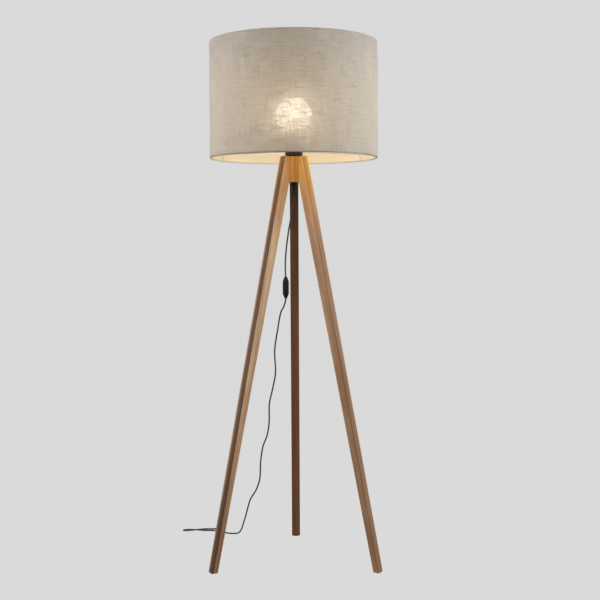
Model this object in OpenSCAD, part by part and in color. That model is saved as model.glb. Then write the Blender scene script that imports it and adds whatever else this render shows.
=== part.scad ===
// Tripod floor lamp: three tapered wooden legs round a hexagonal head block, a screw lampholder
// with a globe bulb, and a linen drum shade on a spider ring. A mains cord hangs from the head
// block, carries a rocker switch and ends in a two-blade plug. Millimetres, +Z up, floor at z = 0.

/* [Shade] */
// Outer diameter of the drum shade
shade_d = 450; // [440:1:460]
// Height of the drum shade
shade_h = 308; // [280:1:330]
// Height of the shade's lower edge above the floor
shade_z = 1092; // [1090:1:1094]
// Angle of the shade's first spider arm from straight ahead
spider_turn = 3; // [0:1:10]

/* [Tripod] */
// Height of the head block's top face above the floor
head_z = 1097.5; // [1095:0.5:1100]
// Height of the head block
head_h = 69; // [64:1:80]
// Width of each leg, which is also the side of the hexagonal head block
leg_w = 23.5; // [23:0.5:26]
// Distance from the lamp's axis to the outer face of a foot
foot_reach = 259; // [250:1:270]
// Thickness of a leg at the floor, measured away from the axis
foot_t = 17; // [15:0.5:20]
// Distance from the axis to a leg's outer face at the top
leg_top_r = 36.5; // [34:0.5:40]
// Thickness of the felt pad under each foot
pad_t = 2; // [1:0.5:3]

/* [Bulb] */
// Diameter of the globe bulb
bulb_d = 95; // [80:1:98]

/* [Cord] */
// Diameter of the mains cord
cord_d = 4.2; // [4:0.1:4.4]

/* [Hidden] */
$fn = 64;

// The origin is the middle of the floor area that the legs and shade cover, so the lamp's own
// axis stands a little in front of it.
axis_y = (shade_d / 2 - foot_reach) / 2;

// Legs and head block
leg_angles = [90, 210, 330];
mate_r = leg_w * cos(30);
head_low = head_z - head_h;
mate_z = head_low + 1.5;
leg_corner = 1.6;
dowel_d = 8;
dowel_l = 24;
dowel_z = [head_low + 20, head_z - 18];
pad_d = 13;

// Threaded tube and what is on it
tube_d = 10;
tube_bore = 7.4;
tube_low = head_low - 9;
tube_top = head_z + 9.5;
core_d = 1.7;
pocket_d = 24;
pocket_h = 8;
clear_d = tube_d + 0.4;
nut_af = 14;
washer_t = 1.5;
nut_t = 5;
grip_low = tube_low - 6;
relief_l = 25;
relief_low = grip_low - relief_l;

// Lampholder, each height counted from the head block's top face
plate_t = 2;
cap_z = head_z + plate_t;
cap_h = 9;
cap_r = 23.5;
body_z = cap_z + cap_h;
flange_t = 2;
skirt_r = 20;
body_h = 38.5;
mouth_z = body_z + body_h;
insert_z = body_z + 3.5;
insert_h = 7;
shell_z = insert_z + insert_h;

// Shade parts
cover_t = 0.8;
liner_t = 0.6;
shade_r = shade_d / 2;
shade_top = shade_z + shade_h;
wire_d = 3;
arm_d = 2.8;
hem_t = 0.4;
hem_w = 7;
liner_in = shade_r - cover_t - liner_t;
ring_r = liner_in - wire_d / 2;
hub_z = body_z + flange_t + 0.2;
hub_t = 1.5;
arm_z = hub_z + hub_t / 2;
arm_r = ring_r - wire_d / 2 - arm_d / 2;
arm_bend = 5;

// Bulb
bulb_r = bulb_d / 2;
globe_t = 1.1;
neck_r = 19;
neck_h = 17;
led_z = mouth_z + neck_h - 3.4;
globe_z = mouth_z + neck_h + sqrt(bulb_r * bulb_r - neck_r * neck_r);

// Inline switch: its middle, and its rocker's pivot in front of the middle
switch_at = [-24, 20, 744];
switch_l = 59;
pivot_y = -4;
rocker_tilt = 7;

// Plug, lying on the floor and pointing at the front of the lamp
plug_at = [-225, 226, 7.5];
plug_l = 34;
plug_relief_l = 24;
blade_x = 6.35;
blade_root = 22;

// Hank: a flat bundle of four runs with a loop at each end, from the middle of its near loop
hank_at = [-227.4, 313];
hank_turn = 1.4;
hank_run = 63;
hank_fold = 3 * cord_d;
hank_pinch = 10.4;
hank_layers = 2;
tie_w = 12;
tie_t = 0.8;

// The cord's route from the strain relief down to the switch
upper_route = [
    [0, -17, 988.5], [0, -17, 974], [-6.5, -6.5, 944], [-17, 9, 888], [-24, 20, 828],
    [-25, 21.5, 792], [-24, 20, 773.5]
];
// From the switch to the floor, left behind the front leg, and folded back to the hank
lower_route = [
    [-24, 20, 714.5], [-25, 21.7, 707], [-30, 29.5, 691], [-38, 42, 675], [-48, 57, 623],
    [-56.5, 71, 566], [-54.5, 67.5, 504], [-63, 81, 458], [-73, 97, 412], [-74, 98, 360],
    [-80, 107, 322], [-93, 127, 285], [-100, 138, 240], [-103, 143, 190], [-115, 162, 152],
    [-133, 190, 118], [-150, 215.5, 57], [-168, 238, 9.5], [-186, 247, 3.3], [-211, 260, 2.4],
    [-246, 285, 2.4], [-276, 289, 2.4], [-303, 296.5, 2.4], [-317, 298.5, 2.5], [-329, 295.5, 3],
    [-337, 286, 4.3], [-337, 274, 6.2], [-329, 264.5, 8.2], [-317, 262, 9.6], [-303, 266, 9.8],
    [-284, 277, 8.9], [-265, 288, 7.2], [-249, 300, 3.6], [-239.9, 312.7, 2.4]
];
// From the hank's last run, over the cord on the floor, to the plug
tail_route = [
    [-214.8, 313.3, 6.6], [-217, 290, 7.2], [-225, 250.5, 7.5]
];

// ---- Shared shapes ----

// Points of a rectangle with round corners, centred on [x, 0], at height z
function round_rect(x, z, wide, deep, r, steps = 4) = [
    for (corner = [[1, 1, 0], [-1, 1, 90], [-1, -1, 180], [1, -1, 270]], k = [0:steps])
        let (a = corner[2] + 90 * k / steps)
            [x + corner[0] * (wide / 2 - r) + r * cos(a), corner[1] * (deep / 2 - r) + r * sin(a), z]
];

// A closed solid through a list of loops, each with the same number of points
module skin(loops) {
    n = len(loops[0]);
    last = len(loops) - 1;
    polyhedron(
        points = [for (loop = loops) for (p = loop) p],
        faces = concat(
            [[for (i = [0:n - 1]) i]],
            [for (k = [0:last - 1]) for (i = [0:n - 1])
                [k * n + i, (k + 1) * n + i, (k + 1) * n + (i + 1) % n, k * n + (i + 1) % n]],
            [[for (i = [n - 1:-1:0]) last * n + i]]
        ),
        convexity = 6
    );
}

// Point i of a line, which carries straight on past both of its ends
function at(line, i) =
    i < 0 ? 2 * line[0] - line[1]
        : i < len(line) ? line[i] : 2 * line[len(line) - 1] - line[len(line) - 2];

// A point on the smooth curve through route, with t counted in points
function gap(a, b) = sqrt(norm(b - a));
function slope(a, b, c) =
    (b - a) / gap(a, b) - (c - a) / (gap(a, b) + gap(b, c)) + (c - b) / gap(b, c);
function smooth(route, t) =
    let (i = min(floor(t), len(route) - 2), f = t - i, b = at(route, i), c = at(route, i + 1),
         u = gap(b, c) * slope(at(route, i - 1), b, c), v = gap(b, c) * slope(b, c, at(route, i + 2)))
    b + f * u + f * f * (3 * (c - b) - 2 * u - v) + f * f * f * (2 * (b - c) + u + v);
function curve(route, steps) = [
    for (k = [0:steps * (len(route) - 1)]) smooth(route, k / steps)
];

// A round tube of one material, swept along a line of points
function unit(v) = v / norm(v);
function heading(line, i) = unit(at(line, i + 1) - at(line, i - 1));
function side(h) = unit(cross(h, abs(h[0]) > 0.9 ? [0, 1, 0] : [1, 0, 0]));
function carried(line, i, s) =
    let (h = heading(line, i)) unit(s - (s * h) * h);
function sides(line, i, s, found) =
    i == len(line) ? found
        : let (now = carried(line, i, s)) sides(line, i + 1, now, concat(found, [now]));
module sweep(line, d, n = 8) {
    frames = sides(line, 0, side(heading(line, 0)), []);
    r = d / 2 / cos(180 / n) * 0.98;
    skin([for (i = [0:len(line) - 1])
        let (h = heading(line, i), s = frames[i], u = cross(h, s))
            [for (k = [0:n - 1]) line[i] + r * (cos(360 * k / n) * s + sin(360 * k / n) * u)]]);
}

module on_axis() {
    translate([0, axis_y, 0]) children();
}

module ring(z, h, outer, inner) {
    translate([0, 0, z]) difference() {
        cylinder(h = h, r = outer);
        translate([0, 0, -1]) cylinder(h = h + 2, r = inner);
    }
}

module hex_nut(z, h, bore) {
    translate([0, 0, z]) difference() {
        cylinder(h = h, r = nut_af / 2 / cos(30), $fn = 6);
        translate([0, 0, -1]) cylinder(h = h + 2, d = bore);
    }
}

// Outline of a tapered relief with grooves, along its length from the thin end
function relief_outline(l, thin, thick, bore, grooves = 4) = concat(
    [[bore, 0]], [[thin, 0]],
    [for (k = [0:grooves - 1]) for (p = [[0.25, 0], [0.25, -0.7], [0.55, -0.7], [0.55, 0]])
        let (s = (k + p[0]) / (grooves + 0.2)) [thin + (thick - thin) * s + p[1], l * s]],
    [[thick, l]], [[bore, l]]
);

// ---- Tripod ----

// Distance from the axis to a leg's outer and inner faces at height z
function leg_out(z) = foot_reach + (leg_top_r - foot_reach) * z / head_z;
function leg_in(z) =
    z > mate_z ? mate_r : foot_reach - foot_t + (mate_r - foot_reach + foot_t) * z / mate_z;

module dowel_places() {
    for (z = dowel_z) translate([mate_r - dowel_l / 2, 0, z]) rotate([0, 90, 0]) children();
}

module leg(angle) {
    on_axis() rotate(angle) difference() {
        skin([for (z = [pad_t, mate_z, head_z])
            let (a = leg_in(z), b = leg_out(z)) round_rect((a + b) / 2, z, b - a, leg_w, leg_corner)]);
        dowel_places() cylinder(h = dowel_l, d = dowel_d);
    }
}

module leg_rear() {
    color("#4a2e1a") leg(leg_angles[0]);
}

module leg_front_left() {
    color("#8a5f3c") leg(leg_angles[1]);
}

module leg_front_right() {
    color("#9a6c45") leg(leg_angles[2]);
}

module head_block() {
    color("#b07a3f") on_axis() difference() {
        translate([0, 0, head_low]) cylinder(h = head_h, r = leg_w, $fn = 6);
        translate([0, 0, head_low - 1]) cylinder(h = head_h + 2, d = clear_d);
        translate([0, 0, head_low - 1]) cylinder(h = pocket_h + 1, d = pocket_d);
        for (angle = leg_angles)
            rotate(angle) dowel_places() cylinder(h = dowel_l, d = dowel_d);
    }
}

module leg_dowels() {
    color("#c9a878") on_axis() for (angle = leg_angles)
        rotate(angle) dowel_places() cylinder(h = dowel_l, d = dowel_d);
}

module foot_pads() {
    color("#3a342e") on_axis() for (angle = leg_angles)
        rotate(angle) translate([(leg_in(0) + leg_out(0)) / 2, 0, 0]) cylinder(h = pad_t, d = pad_d);
}

// ---- Tube, grip and strain relief under the head ----

module threaded_tube() {
    color("#a9a9a4") on_axis() ring(tube_low, tube_top - tube_low, tube_d / 2, tube_bore / 2);
}

module tube_washer() {
    color("#b4b4b0") on_axis()
        ring(head_low + pocket_h - washer_t, washer_t, pocket_d / 2 - 1, clear_d / 2);
}

module tube_nut() {
    color("#b4b4b0") on_axis() hex_nut(head_low + pocket_h - washer_t - nut_t, nut_t, tube_d);
}

module cord_grip() {
    color("#161616") on_axis() rotate_extrude() polygon([
        [cord_d / 2 + 0.1, grip_low], [4.5, grip_low], [6.5, tube_low], [6.5, head_low + 1],
        [tube_d / 2, head_low + 1], [tube_d / 2, tube_low], [cord_d / 2 + 0.1, tube_low]
    ]);
}

module strain_relief() {
    color("#191919") on_axis() translate([0, 0, relief_low]) rotate_extrude()
        polygon(relief_outline(relief_l, cord_d / 2 + 0.7, 4.2, cord_d / 2 + 0.05));
}

module inner_cable() {
    color("#232323") on_axis() translate([0, 0, relief_low])
        cylinder(h = tube_top + 0.5 - relief_low, d = cord_d);
}

// The cable's two cores, from the end of its sheath to the terminals
module inner_cores() {
    low = tube_top + 0.5;
    color("#6b5a45") on_axis() for (s = [-1, 1])
        sweep(curve([
            [s, 0, low], [s * 1.7, 0, low + 1.5], [s * 4, 0, low + 2.9], [s * 7.2, 0, low + 3.2]
        ], 3), core_d);
}

// ---- Lampholder ----

module base_plate() {
    color("#2b1c10") on_axis() rotate_extrude() polygon([
        [clear_d / 2, head_z], [21.5, head_z], [22, head_z + 0.5], [22, cap_z], [clear_d / 2, cap_z]
    ]);
}

module holder_cap() {
    floor_t = 3;
    wall = 2;
    color("#33291f") on_axis() translate([0, 0, cap_z]) rotate_extrude() polygon([
        [clear_d / 2, 0], [cap_r - 1.2, 0], [cap_r, 1.2], [cap_r, cap_h], [cap_r - wall, cap_h],
        [cap_r - wall, floor_t], [clear_d / 2, floor_t]
    ]);
}

module cap_nut() {
    color("#b4b4b0") on_axis() hex_nut(cap_z + 3, 3, tube_d);
}

// Outer shell of the lampholder: a flange, a skirt with a coarse thread, and an inner ledge
module holder_body() {
    pitch = 3;
    turns = 10;
    thread = 0.8;
    first = flange_t + 3;
    color("#1c1a18") on_axis() translate([0, 0, body_z]) rotate_extrude() polygon(concat(
        [[18, 0], [cap_r, 0], [cap_r, flange_t], [skirt_r - thread, flange_t]],
        [for (k = [0:turns - 1]) for (p = [[-thread, 0], [0, 0.9], [0, 1.6], [-thread, 2.5]])
            [skirt_r + p[0], first + k * pitch + p[1]]],
        [[skirt_r - thread, body_h], [15.4, body_h], [15.4, body_h - 2], [18, body_h - 2],
         [18, 3.5], [16, 3.5], [16, 1.5], [18, 1.5]]
    ));
}

module holder_insert() {
    color("#d8d2c4") on_axis() difference() {
        translate([0, 0, insert_z]) cylinder(h = insert_h, r = 17.9);
        translate([0, 0, insert_z - 1]) cylinder(h = insert_h + 2, r = 2.2);
        for (x = [-11, 11]) translate([x, 0, insert_z - 1]) cylinder(h = 6, d = 3.2);
    }
}

module terminal_screws() {
    color("#c8a850") on_axis() for (x = [-11, 11]) translate([x, 0, insert_z - 2.4]) difference() {
        union() {
            cylinder(h = 2.4, d = 5.6);
            cylinder(h = 6.5, d = 3);
        }
        translate([-3, -0.4, -0.01]) cube([6, 0.8, 0.9]);
    }
}

module screw_shell() {
    wall = 0.4;
    low = 13.3;
    pitch = 3.6;
    ridge = 0.45;
    outline = concat(
        [[low, 0.6]],
        [for (k = [0:5]) for (p = [[0, 1.2], [ridge, 2.4], [ridge, 3.4]]) [low + p[0], k * pitch + p[1]]],
        [[low + ridge, 24]]
    );
    color("#cdb46a") on_axis() translate([0, 0, shell_z]) rotate_extrude() polygon(concat(
        [[5, 0], [5, 0.6]], outline,
        [for (i = [len(outline) - 1:-1:1]) outline[i] + [wall, 0]], [[low + wall, 0]]
    ));
}

module centre_contact() {
    color("#cdb46a") on_axis() {
        translate([0, 0, insert_z + 1]) cylinder(h = insert_h + 0.3, r = 1.6);
        translate([0, 0, shell_z + 0.3]) cylinder(h = 1.2, r = 3.6);
    }
}

module shade_ring() {
    h = 7;
    outer = 27;
    color("#232120") on_axis() translate([0, 0, hub_z + hub_t + 0.2]) difference() {
        cylinder(h = h, r = outer);
        translate([0, 0, -1]) cylinder(h = h + 2, r = skirt_r + 0.15);
        for (k = [0:23]) rotate(15 * k) translate([outer + 0.7, 0, -1]) cylinder(h = h + 2, r = 1.4);
    }
}

// ---- Bulb ----

module bulb_contact() {
    color("#b9b9b4") on_axis() translate([0, 0, shell_z + 1.5]) cylinder(h = 1.2, r = 4.4);
}

module bulb_insulator() {
    color("#111111") on_axis() translate([0, 0, shell_z + 2.7]) cylinder(h = 2.4, r1 = 4.8, r2 = 9.4);
}

module bulb_cap() {
    wall = 0.4;
    low = 12.1;
    ridge = 0.55;
    pitch = 3.6;
    outline = concat(
        [[9.4, 5.1], [low, 7]],
        [for (k = [0:3]) for (p = [[0, 0.8], [ridge, 1.8], [ridge, 2.8], [0, 3.4]])
            [low + p[0], 7 + k * pitch + p[1]]],
        [[13.2, 22.5], [13.2, mouth_z - shell_z]]
    );
    color("#c9c7bf") on_axis() translate([0, 0, shell_z]) rotate_extrude() polygon(concat(
        outline, [for (i = [len(outline) - 1:-1:0]) outline[i] - [wall, 0]]
    ));
}

module bulb_neck() {
    wall = 1.4;
    outline = [for (k = [0:8]) let (s = k / 8)
        [13.8 + (neck_r - 13.8) * (1 - cos(180 * s)) / 2, mouth_z + neck_h * s]];
    color("#efece4") on_axis() rotate_extrude() polygon(concat(
        outline, [for (i = [len(outline) - 1:-1:0]) outline[i] - [wall, 0]]
    ));
}

module bulb_driver() {
    color("#2f6b3a") on_axis() {
        translate([-9, -0.8, mouth_z - 12]) cube([18, 1.6, led_z - mouth_z + 12]);
        translate([0, -5.2, mouth_z - 6]) cylinder(h = 12, d = 8);
        translate([-5, 0.8, mouth_z + 1]) cube([9, 6, 8]);
    }
}

module bulb_led_plate() {
    color("#d9dbdc") on_axis() translate([0, 0, led_z]) cylinder(h = 1.6, r = 17);
}

module bulb_leds() {
    color("#ffe9b0") on_axis() for (k = [0:9]) rotate(36 * k)
        translate([10.5, -1.4, led_z + 1.6]) cube([2.8, 2.8, 0.7]);
}

module bulb_globe() {
    color("#fff3da") on_axis() rotate_extrude() intersection() {
        translate([0, globe_z]) difference() {
            circle(r = bulb_r, $fn = 128);
            circle(r = bulb_r - globe_t, $fn = 128);
        }
        translate([0, mouth_z + neck_h]) square([bulb_r + 1, 2 * bulb_r]);
    }
}

// ---- Shade ----

module spider() {
    hub_out = 31;
    reach = arm_r - arm_bend;
    arm_low = shade_z + hem_t + 0.4;
    color("#efe9dc") on_axis() rotate(spider_turn - 90) {
        ring(hub_z, hub_t, hub_out, skirt_r + 0.35);
        for (k = [0:2]) rotate(120 * k) {
            translate([hub_out - 3, 0, arm_z]) rotate([0, 90, 0])
                cylinder(h = reach - hub_out + 3, d = arm_d);
            translate([reach, 0, arm_z - arm_bend]) rotate([90, 0, 0])
                rotate_extrude(angle = 90) translate([arm_bend, 0]) circle(d = arm_d);
            translate([arm_r, 0, arm_low]) cylinder(h = arm_z - arm_bend - arm_low, d = arm_d);
        }
    }
}

module wire_ring(z) {
    on_axis() rotate_extrude($fn = 128) translate([ring_r, z]) circle(d = wire_d, $fn = 24);
}

module bottom_ring() {
    color("#e8e2d4") wire_ring(shade_z + hem_t + wire_d / 2);
}

module top_ring() {
    color("#e8e2d4") wire_ring(shade_top - hem_t - wire_d / 2);
}

module shade_cover() {
    color("#b9a893") on_axis() ring(shade_z, shade_h, shade_r, shade_r - cover_t, $fn = 256);
}

module shade_liner() {
    color("#f2e6cf") on_axis()
        ring(shade_z + hem_t, shade_h - 2 * hem_t, shade_r - cover_t, liner_in, $fn = 256);
}

// The cover's turned-in edge, wrapped round the wire ring; up is 1 at the lower edge
module hem(z, up) {
    inner = ring_r - wire_d / 2 - hem_t;
    on_axis() translate([0, 0, z]) mirror([0, 0, up > 0 ? 0 : 1]) difference() {
        rotate_extrude($fn = 256) polygon([
            [inner, 0], [shade_r - cover_t, 0], [shade_r - cover_t, hem_t],
            [inner + hem_t, hem_t], [inner + hem_t, hem_w], [inner, hem_w]
        ]);
        if (up > 0) for (k = [0:2])
            rotate(spider_turn - 90 + 120 * k) translate([arm_r - 3, -2.2, hem_t]) cube([6, 4.4, hem_w]);
    }
}

module hem_bottom() {
    color("#9c8b77") hem(shade_z, 1);
}

module hem_top() {
    color("#9c8b77") hem(shade_top, -1);
}

// ---- Inline switch ----

// The switch's closed outer form: each section gives its height, width and corner radius
module switch_form() {
    sections = [
        [-switch_l / 2, 7.4, 2.6], [-27, 9, 3.4], [-18, 16.4, 4], [-14, 17, 3.6],
        [14, 17, 3.6], [18, 16.4, 4], [27, 9, 3.4], [switch_l / 2, 7.4, 2.6]
    ];
    skin([for (p = sections) round_rect(0, p[0], p[1], p[1] * 15 / 17, p[2])]);
}

module switch_hollow() {
    translate([-6.7, -5.7, -15.5]) cube([13.4, 11.4, 31]);
    cylinder(h = switch_l + 2, d = cord_d + 0.2, center = true);
}

module switch_screw_places() {
    for (s = [-1, 1]) translate([s * 4.9, 0, s * 19.5]) rotate([-90, 0, 0]) children();
}

module switch_front() {
    color("#1b1b1b") translate(switch_at) {
        difference() {
            intersection() {
                switch_form();
                translate([-20, -20, -40]) cube([40, 20, 80]);
            }
            switch_hollow();
            translate([-5.2, -9, -9.7]) cube([10.4, 6, 19.4]);
            switch_screw_places() translate([0, 0, -5]) cylinder(h = 6, d = 2.2);
        }
        // Ears that carry the rocker's trunnions
        for (s = [-1, 1]) difference() {
            translate([s > 0 ? 5.2 : -6.7, -5.7, -2.5]) cube([1.5, 4.4, 5]);
            translate([-8, pivot_y, 0]) rotate([0, 90, 0]) cylinder(h = 16, d = 2.5);
        }
    }
}

module switch_back() {
    color("#191919") translate(switch_at) difference() {
        intersection() {
            switch_form();
            translate([-20, 0, -40]) cube([40, 20, 80]);
        }
        switch_hollow();
        switch_screw_places() {
            translate([0, 0, -1]) cylinder(h = 12, d = 2.6);
            translate([0, 0, 4]) cylinder(h = 8, d = 4.8);
        }
    }
}

module switch_rocker() {
    color("#2a2a2a") translate(switch_at + [0, pivot_y, 0]) rotate([-rocker_tilt, 0, 0]) {
        translate([-4.8, 0, 0]) rotate([90, 0, 90]) linear_extrude(height = 9.6) polygon([
            [-4.7, -8.6], [-4.1, -4.5], [-3.9, 0], [-4.1, 4.5], [-4.7, 8.6], [-3.2, 8.8], [-1.5, 8.4],
            [1.8, 3.2], [1.8, -3.2], [-1.5, -8.4], [-3.2, -8.8]
        ]);
        rotate([0, 90, 0]) cylinder(h = 12.8, d = 2.4, center = true);
    }
}

module switch_screws() {
    color("#8d8d88") translate(switch_at) switch_screw_places() {
        translate([0, 0, -4.4]) cylinder(h = 8.6, d = 2.1);
        translate([0, 0, 4.05]) cylinder(h = 1.5, d = 4.2);
    }
}

module switch_contacts() {
    color("#c8a850") translate(switch_at) {
        for (s = [-1, 1]) translate([-5, 0.6, s > 0 ? 7.5 : -13.5]) difference() {
            cube([4.4, 4.6, 6]);
            translate([2.2, 2.3, -1]) cylinder(h = 8, d = 1.9);
        }
        translate([-4.4, 0.2, -8.2]) cube([3.2, 0.4, 15.7]);
        translate([-2.8, 0.6, -7.5]) rotate([90, 0, 0]) cylinder(h = 1.2, d = 2);
    }
}

// The cord's cores inside the switch: one runs through, and one is cut at the contacts
module switch_wires() {
    color("#6b5a45") translate(switch_at) {
        sweep(curve([[1, 0, -15], [3.6, 1, -11], [4, 1.6, 0], [3.6, 1, 11], [1, 0, 15]], 4), core_d);
        for (s = [-1, 1]) sweep(curve([
            [-1.1, 0, s * 15], [-1.9, 1.3, s * 14.2], [-2.8, 2.9, s * 12.8], [-2.8, 2.9, s * 9]
        ], 3), core_d);
    }
}

// ---- Cord ----

module cord_upper() {
    color("#3b3b3b") sweep(curve(upper_route, 2), cord_d);
}

module cord_lower() {
    color("#3b3b3b") sweep(curve(lower_route, 2), cord_d);
}

module cord_tail() {
    color("#3b3b3b") sweep(curve(tail_route, 3), cord_d);
}

// Half the hank's width at s, from 0 at one end loop to 1 at the other
function hank_half(s) = hank_fold + cord_d / 2 - hank_pinch * (1 - cos(360 * s)) / 2;

module hank_outline() {
    steps = 24;
    edge = [for (k = [0:steps]) [hank_half(k / steps), hank_run * k / steps]];
    polygon(concat(edge, [for (k = [steps:-1:0]) [-edge[k][0], edge[k][1]]]));
    for (y = [0, hank_run]) translate([0, y]) circle(r = hank_fold + cord_d / 2);
}

// Outline of the bundle at the tie, grown by g
module tie_section(g) {
    wide = 2 * hank_half(0.5) + 0.6 + 2 * g;
    high = hank_layers * cord_d + 0.3 + g;
    translate([-wide / 2, 0]) square([wide, high]);
}

module tie_block(g) {
    translate([0, (hank_run + tie_w) / 2, tie_t]) rotate([90, 0, 0])
        linear_extrude(height = tie_w) tie_section(g);
}

module hank_frame() {
    translate([hank_at[0], hank_at[1], 0]) rotate(hank_turn) children();
}

module cord_hank() {
    color("#333333") hank_frame() difference() {
        linear_extrude(height = hank_layers * cord_d + tie_t) hank_outline();
        translate([-20, (hank_run - tie_w) / 2, -1]) cube([40, tie_w, 1 + tie_t]);
    }
}

module hank_tie() {
    color("#202020") hank_frame() difference() {
        union() {
            tie_block(tie_t);
            translate([0, 0, -tie_t]) tie_block(tie_t);
        }
        translate([0, -1, 0]) tie_block(0);
        translate([0, 1, 0]) tie_block(0);
    }
}

// ---- Plug ----

// Turns a shape that grows along +Z to point along -Y from the plug's place
module plug_frame() {
    translate(plug_at) rotate([90, 0, 0]) children();
}

module plug_relief() {
    color("#1d1d1d") plug_frame() translate([0, 0, -plug_relief_l]) rotate_extrude()
        polygon(relief_outline(plug_relief_l, cord_d / 2 + 0.7, 4.8, 0));
}

module plug_body() {
    color("#1a1a1a") plug_frame() difference() {
        skin([for (p = [[0, 15, 11, 4], [1.5, 17.5, 12.4, 5], [12, 21.5, 14.2, 5.5], [24, 24, 15, 4.5],
                        [32.5, 24, 15, 4.5], [plug_l, 22.6, 13.6, 3.8]])
            round_rect(0, p[0], p[1], p[2], p[3])]);
        translate([-9, -4.5, 16]) cube([18, 9, plug_l]);
    }
}

// The two flat blades, of which one is wider, from blade_root to z = high
module blade_pair(high) {
    for (s = [-1, 1]) let (wide = s > 0 ? 6.4 : 7.9)
        translate([s * blade_x - 0.75, -wide / 2, blade_root]) cube([1.5, wide, high - blade_root]);
}

module plug_bridge() {
    color("#d9d5c8") plug_frame() difference() {
        translate([-9, -4.5, 16]) cube([18, 9, plug_l - 16]);
        blade_pair(plug_l + 1);
    }
}

module plug_blades() {
    tip = plug_l + 17.5;
    color("#cdb46a") plug_frame() difference() {
        blade_pair(tip);
        for (s = [-1, 1])
            translate([s * blade_x - 2, 0, tip - 5.5]) rotate([0, 90, 0]) cylinder(h = 4, d = 3);
    }
}

head_block();
leg_rear();
leg_front_left();
leg_front_right();
leg_dowels();
foot_pads();
threaded_tube();
tube_washer();
tube_nut();
cord_grip();
strain_relief();
inner_cable();
inner_cores();
base_plate();
holder_cap();
cap_nut();
holder_body();
holder_insert();
terminal_screws();
screw_shell();
centre_contact();
shade_ring();
bulb_contact();
bulb_insulator();
bulb_cap();
bulb_neck();
bulb_driver();
bulb_led_plate();
bulb_leds();
bulb_globe();
spider();
bottom_ring();
top_ring();
shade_liner();
shade_cover();
hem_bottom();
hem_top();
cord_upper();
switch_front();
switch_back();
switch_rocker();
switch_screws();
switch_contacts();
switch_wires();
cord_lower();
cord_hank();
hank_tie();
cord_tail();
plug_relief();
plug_body();
plug_bridge();
plug_blades();
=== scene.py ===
"""Tripod floor lamp: its looks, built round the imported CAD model. Metres, +Z up, floor at z = 0."""

import math

import bpy
import numpy as np
from mathutils import Matrix, Vector, noise


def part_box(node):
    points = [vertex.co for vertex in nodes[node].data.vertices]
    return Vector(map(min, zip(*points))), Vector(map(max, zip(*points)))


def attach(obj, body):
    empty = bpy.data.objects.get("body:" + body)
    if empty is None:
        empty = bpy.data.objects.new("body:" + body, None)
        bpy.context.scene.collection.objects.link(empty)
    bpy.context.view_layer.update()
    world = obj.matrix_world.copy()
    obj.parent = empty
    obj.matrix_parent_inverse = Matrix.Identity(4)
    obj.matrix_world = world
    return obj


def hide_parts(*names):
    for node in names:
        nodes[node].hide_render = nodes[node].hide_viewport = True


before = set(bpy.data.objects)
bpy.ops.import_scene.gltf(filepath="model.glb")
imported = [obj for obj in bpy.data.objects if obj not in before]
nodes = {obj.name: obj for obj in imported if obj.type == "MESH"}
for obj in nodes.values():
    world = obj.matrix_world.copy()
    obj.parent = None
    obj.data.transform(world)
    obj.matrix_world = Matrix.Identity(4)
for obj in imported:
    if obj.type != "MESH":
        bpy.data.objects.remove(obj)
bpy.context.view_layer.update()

# ---- Sizes taken from the frame ----

MM = 0.001
shade_low, shade_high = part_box("shade_cover")
axis = Vector(((shade_low.x + shade_high.x) / 2, (shade_low.y + shade_high.y) / 2, 0))
shade_r = (shade_high.x - shade_low.x) / 2
globe_low, globe_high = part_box("bulb_globe")
ring_low, ring_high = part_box("bottom_ring")
wire_r = (ring_high.z - ring_low.z) / 2
ring_r = (ring_high.x - ring_low.x) / 2 - wire_r
LEG_TURNS = {"leg_rear": 90, "leg_front_left": 210, "leg_front_right": 330}
SPIDER_TURN = 3
SPIDER_ARMS = 3


# ---- Camera ----

CAMERA_AT = (0.0148, -3.0431, 0.8692)
CAMERA_DOWN = math.radians(2.984)
CAMERA_ROLL = math.radians(-0.2575)
CAMERA_LENS = 67.19
SENSOR_W = 36


def make_camera():
    """The photograph's viewpoint: a little above the middle of the lamp and looking slightly down."""
    data = bpy.data.cameras.new("camera")
    data.sensor_width = SENSOR_W
    data.lens = CAMERA_LENS
    camera = bpy.data.objects.new("camera", data)
    pitch = Matrix.Rotation(math.radians(90) - CAMERA_DOWN, 4, "X")
    roll = Matrix.Rotation(CAMERA_ROLL, 4, "Z")
    camera.matrix_world = Matrix.Translation(CAMERA_AT) @ pitch @ roll
    bpy.context.scene.collection.objects.link(camera)
    bpy.context.scene.camera = camera


# ---- Cord ----

CORD_D = 0.0042
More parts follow.
